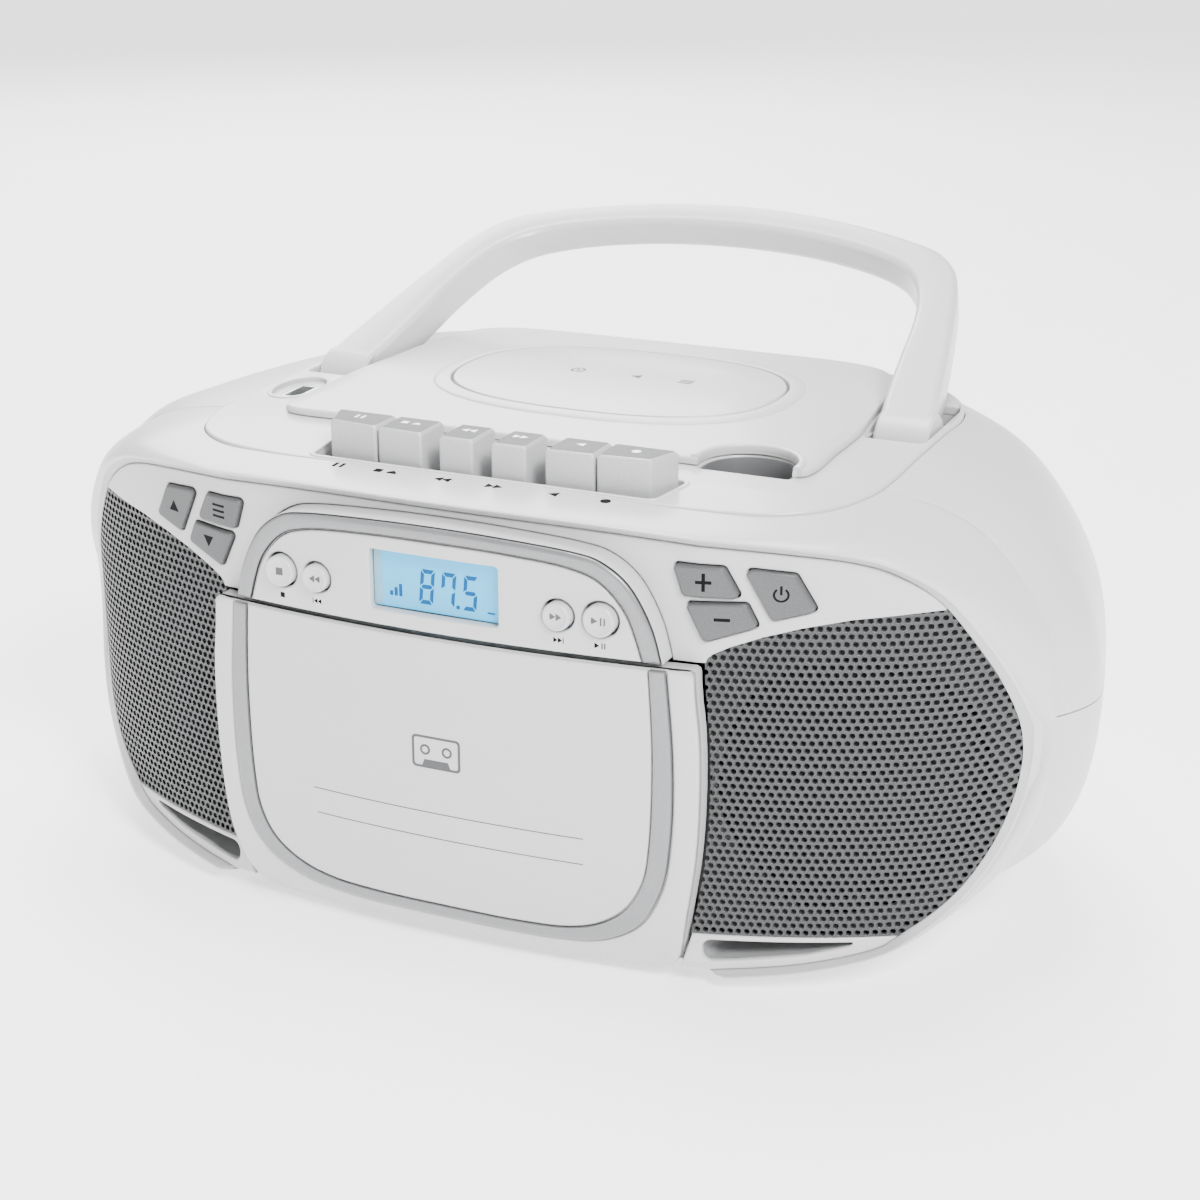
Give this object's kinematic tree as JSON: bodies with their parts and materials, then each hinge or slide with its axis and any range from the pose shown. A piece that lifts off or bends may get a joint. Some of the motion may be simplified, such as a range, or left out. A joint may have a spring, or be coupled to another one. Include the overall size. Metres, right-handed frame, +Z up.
{
  "type": "cassette player",
  "caption": "Portable stereo with a front cassette door, top disc lid, piano keys, lit display, side speakers and a swinging carry handle.",
  "frame": {"origin": "on the ground under the centre of the bounding box", "axes": "+Z up, front faces -Y, +X to the viewer's right, along the width"},
  "size_m": [0.3502, 0.2488, 0.1858],
  "materials": {
    "white_plastic": "satin moulded plastic with a fine grain",
    "button_plastic": "satin white plastic",
    "silver_plastic": "silver paint on plastic, satin",
    "grille_metal": "punched sheet, grey metallic paint",
    "dark_plastic": "matt moulded plastic",
    "steel": "zinc plated",
    "aerial_chrome": "bright plated tube",
    "speaker_cone": "treated paper",
    "lcd_lens": "clear lens over a lit blue display",
    "rubber": "matt",
    "circuit_board": "green lacquered board"
  },
  "bodies": {
    "cabinet": {"front_cabinet": "white_plastic", "rear_cabinet": "white_plastic", "lower_cabinet": "white_plastic", "top_deck": "white_plastic", "front_baffle": "white_plastic", "left_grille": "grille_metal", "right_grille": "grille_metal", "left_speaker_basket": "steel", "right_speaker_basket": "steel", "display_panel": "white_plastic", "display_trim": "silver_plastic", "lcd_window": "lcd_lens", "tape_chassis": "steel", "tape_motor": "steel", "key_shaft": "steel", "battery_tray": "dark_plastic", "mains_inlet": "dark_plastic", "antenna_base": "dark_plastic", "usb_socket": "steel", "main_board": "circuit_board", "power_transformer": "steel", "front_left_foot": "rubber", "front_right_foot": "rubber", "rear_left_foot": "rubber", "rear_right_foot": "rubber"},
    "door": {"cassette_door": "white_plastic", "door_trim": "silver_plastic", "door_face": "white_plastic", "cassette_holder": "dark_plastic"},
    "lid": {"cd_lid": "white_plastic"},
    "clamp": {"disc_clamp": "dark_plastic"},
    "spindle": {"disc_spindle": "dark_plastic"},
    "pickup": {"laser_pickup": "dark_plastic"},
    "carry_handle": {"handle": "white_plastic"},
    "battery_cover": {"battery_door": "white_plastic"},
    "aerial_tube": {"antenna_lower": "aerial_chrome"},
    "aerial_tip": {"antenna_upper": "aerial_chrome"},
    "supply_reel": {"supply_spindle": "dark_plastic"},
    "takeup_reel": {"takeup_spindle": "dark_plastic"},
    "capstan": {"capstan_flywheel": "steel"},
    "head_slide": {"tape_head": "steel"},
    "roller": {"pinch_roller": "rubber"},
    "left_cone": {"left_speaker_cone": "speaker_cone"},
    "right_cone": {"right_speaker_cone": "speaker_cone"},
    "pause_lever": {"pause_key": "silver_plastic"},
    "stop_eject_lever": {"stop_eject_key": "silver_plastic"},
    "fast_forward_lever": {"fast_forward_key": "silver_plastic"},
    "rewind_lever": {"rewind_key": "silver_plastic"},
    "play_lever": {"play_key": "silver_plastic"},
    "record_lever": {"record_key": "silver_plastic"},
    "stop_button_cap": {"stop_button": "button_plastic"},
    "skip_back_button_cap": {"skip_back_button": "button_plastic"},
    "skip_forward_button_cap": {"skip_forward_button": "button_plastic"},
    "play_pause_button_cap": {"play_pause_button": "button_plastic"},
    "program_button_cap": {"program_button": "silver_plastic"},
    "folder_up_button_cap": {"folder_up_button": "silver_plastic"},
    "folder_down_button_cap": {"folder_down_button": "silver_plastic"},
    "volume_up_button_cap": {"volume_up_button": "silver_plastic"},
    "volume_down_button_cap": {"volume_down_button": "silver_plastic"},
    "function_button_cap": {"function_button": "silver_plastic"}
  },
  "joints": [
    {"name": "handle_pivot", "type": "hinge", "parent": "cabinet", "child": "carry_handle", "pos_m": [0, 0.00962, 0.137], "axis": [-1, 0, 0], "range_deg": [-75, 0]},
    {"name": "lid_hinge", "type": "hinge", "parent": "cabinet", "child": "lid", "pos_m": [0, 0.07062, 0.1445], "axis": [-1, 0, 0], "range_deg": [0, 60]},
    {"name": "door_hinge", "type": "hinge", "parent": "cabinet", "child": "door", "pos_m": [0, -0.11038, 0.008], "axis": [1, 0, 0], "range_deg": [0, 38]},
    {"name": "battery_door_hinge", "type": "hinge", "parent": "cabinet", "child": "battery_cover", "pos_m": [0, 0.08012, 0.0166], "axis": [-1, 0, 0], "range_deg": [0, 95]},
    {"name": "aerial_swing", "type": "hinge", "parent": "cabinet", "child": "aerial_tube", "pos_m": [-0.06, 0.08762, 0.128], "axis": [0, -1, 0], "range_deg": [0, 90]},
    {"name": "aerial_extend", "type": "slide", "parent": "aerial_tube", "child": "aerial_tip", "axis": [1, 0, 0], "range_m": [0, 0.1]},
    {"name": "disc_spin", "type": "hinge", "parent": "cabinet", "child": "spindle", "pos_m": [0, 0.00662, 0.128], "axis": [0, 0, 1], "continuous": true},
    {"name": "clamp_spin", "type": "hinge", "parent": "lid", "child": "clamp", "pos_m": [0, 0.00662, 0.133], "axis": [0, 0, 1], "continuous": true},
    {"name": "pickup_travel", "type": "slide", "parent": "cabinet", "child": "pickup", "axis": [1, 0, 0], "range_m": [0, 0.018]},
    {"name": "takeup_spin", "type": "hinge", "parent": "cabinet", "child": "takeup_reel", "pos_m": [0.02125, -0.10938, 0.059], "axis": [0, 1, 0], "continuous": true},
    {"name": "supply_spin", "type": "hinge", "parent": "cabinet", "child": "supply_reel", "pos_m": [-0.02125, -0.10938, 0.059], "axis": [0, 1, 0], "continuous": true},
    {"name": "capstan_spin", "type": "hinge", "parent": "cabinet", "child": "capstan", "pos_m": [0.033, -0.10938, 0.084], "axis": [0, 1, 0], "continuous": true},
    {"name": "head_travel", "type": "slide", "parent": "cabinet", "child": "head_slide", "axis": [0, 0, -1], "range_m": [0, 0.003], "stiffness_N_per_m": 200, "springref_m": -0.002},
    {"name": "roller_spin", "type": "hinge", "parent": "head_slide", "child": "roller", "pos_m": [0.033, -0.10938, 0.0934], "axis": [0, 1, 0], "continuous": true},
    {"name": "left_cone_travel", "type": "slide", "parent": "cabinet", "child": "left_cone", "axis": [-0.4848, -0.8746, 0], "range_m": [-0.001, 0.001], "stiffness_N_per_m": 1500},
    {"name": "right_cone_travel", "type": "slide", "parent": "cabinet", "child": "right_cone", "axis": [0.4848, -0.8746, 0], "range_m": [-0.001, 0.001], "stiffness_N_per_m": 1500},
    {"name": "pause_press", "type": "hinge", "parent": "cabinet", "child": "pause_lever", "pos_m": [0, -0.06538, 0.131], "axis": [1, 0, 0], "range_deg": [0, 7], "stiffness_Nm_per_rad": 0.6, "springref_deg": -1.72},
    {"name": "stop_eject_press", "type": "hinge", "parent": "cabinet", "child": "stop_eject_lever", "pos_m": [0, -0.06538, 0.131], "axis": [1, 0, 0], "range_deg": [0, 7], "stiffness_Nm_per_rad": 0.6, "springref_deg": -1.72},
    {"name": "fast_forward_press", "type": "hinge", "parent": "cabinet", "child": "fast_forward_lever", "pos_m": [0, -0.06538, 0.131], "axis": [1, 0, 0], "range_deg": [0, 7], "stiffness_Nm_per_rad": 0.6, "springref_deg": -1.72},
    {"name": "rewind_press", "type": "hinge", "parent": "cabinet", "child": "rewind_lever", "pos_m": [0, -0.06538, 0.131], "axis": [1, 0, 0], "range_deg": [0, 7], "stiffness_Nm_per_rad": 0.6, "springref_deg": -1.72},
    {"name": "play_press", "type": "hinge", "parent": "cabinet", "child": "play_lever", "pos_m": [0, -0.06538, 0.131], "axis": [1, 0, 0], "range_deg": [0, 7], "stiffness_Nm_per_rad": 0.6, "springref_deg": -1.72},
    {"name": "record_press", "type": "hinge", "parent": "cabinet", "child": "record_lever", "pos_m": [0, -0.06538, 0.131], "axis": [1, 0, 0], "range_deg": [0, 7], "stiffness_Nm_per_rad": 0.6, "springref_deg": -1.72},
    {"name": "stop_button_press", "type": "slide", "parent": "cabinet", "child": "stop_button_cap", "axis": [0, 1, 0], "range_m": [0, 0.001], "stiffness_N_per_m": 400, "springref_m": -0.0005},
    {"name": "skip_back_button_press", "type": "slide", "parent": "cabinet", "child": "skip_back_button_cap", "axis": [0, 1, 0], "range_m": [0, 0.001], "stiffness_N_per_m": 400, "springref_m": -0.0005},
    {"name": "skip_forward_button_press", "type": "slide", "parent": "cabinet", "child": "skip_forward_button_cap", "axis": [0, 1, 0], "range_m": [0, 0.001], "stiffness_N_per_m": 400, "springref_m": -0.0005},
    {"name": "play_pause_button_press", "type": "slide", "parent": "cabinet", "child": "play_pause_button_cap", "axis": [0, 1, 0], "range_m": [0, 0.001], "stiffness_N_per_m": 400, "springref_m": -0.0005},
    {"name": "program_button_press", "type": "slide", "parent": "cabinet", "child": "program_button_cap", "axis": [0, 1, 0], "range_m": [0, 0.001], "stiffness_N_per_m": 400, "springref_m": -0.0005},
    {"name": "folder_up_button_press", "type": "slide", "parent": "cabinet", "child": "folder_up_button_cap", "axis": [0, 1, 0], "range_m": [0, 0.001], "stiffness_N_per_m": 400, "springref_m": -0.0005},
    {"name": "folder_down_button_press", "type": "slide", "parent": "cabinet", "child": "folder_down_button_cap", "axis": [0, 1, 0], "range_m": [0, 0.001], "stiffness_N_per_m": 400, "springref_m": -0.0005},
    {"name": "volume_up_button_press", "type": "slide", "parent": "cabinet", "child": "volume_up_button_cap", "axis": [0, 1, 0], "range_m": [0, 0.001], "stiffness_N_per_m": 400, "springref_m": -0.0005},
    {"name": "volume_down_button_press", "type": "slide", "parent": "cabinet", "child": "volume_down_button_cap", "axis": [0, 1, 0], "range_m": [0, 0.001], "stiffness_N_per_m": 400, "springref_m": -0.0005},
    {"name": "function_button_press", "type": "slide", "parent": "cabinet", "child": "function_button_cap", "axis": [0, 1, 0], "range_m": [0, 0.001], "stiffness_N_per_m": 400, "springref_m": -0.0005}
  ],
  "couplings": [
    {"joint": "supply_spin", "follows": "takeup_spin", "ratio": 1},
    {"joint": "roller_spin", "follows": "capstan_spin", "ratio": -0.24},
    {"joint": "clamp_spin", "follows": "disc_spin", "ratio": 1}
  ]
}
